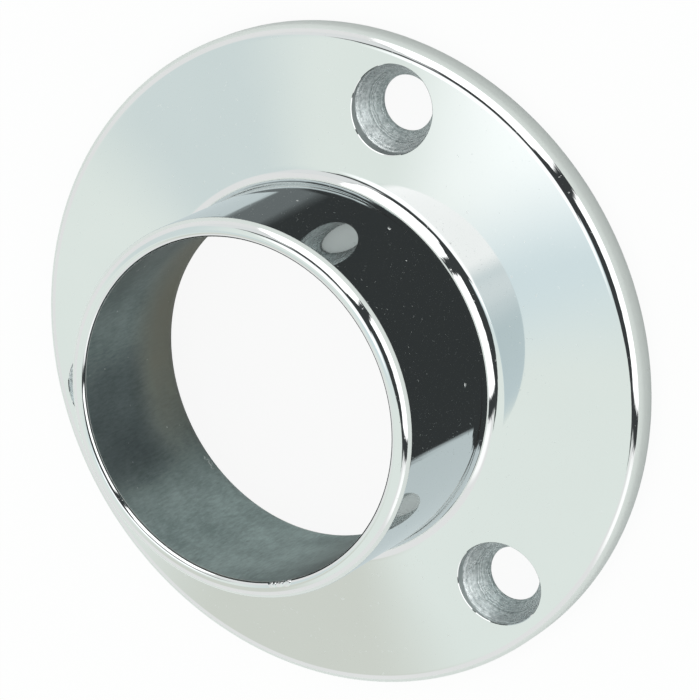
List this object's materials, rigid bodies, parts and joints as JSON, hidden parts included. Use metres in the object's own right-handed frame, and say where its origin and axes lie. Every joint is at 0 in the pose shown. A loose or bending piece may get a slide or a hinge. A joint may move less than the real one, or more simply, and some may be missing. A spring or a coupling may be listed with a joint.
{
  "type": "rod bracket",
  "caption": "Round chromed flange with an open collar that holds the end of a closet rod, a hollow back and countersunk screw holes.",
  "frame": {"origin": "centre of the bore in the plane of the flange's back", "axes": "+Z along the bore, out of the collar; +Y towards one screw hole"},
  "size_m": [0.0665, 0.0664, 0.0211],
  "materials": {
    "chrome": "polished chrome plate over a zinc casting, satin inside the bore"
  },
  "bodies": {
    "root": {"flange": "chrome"}
  },
  "joints": []
}
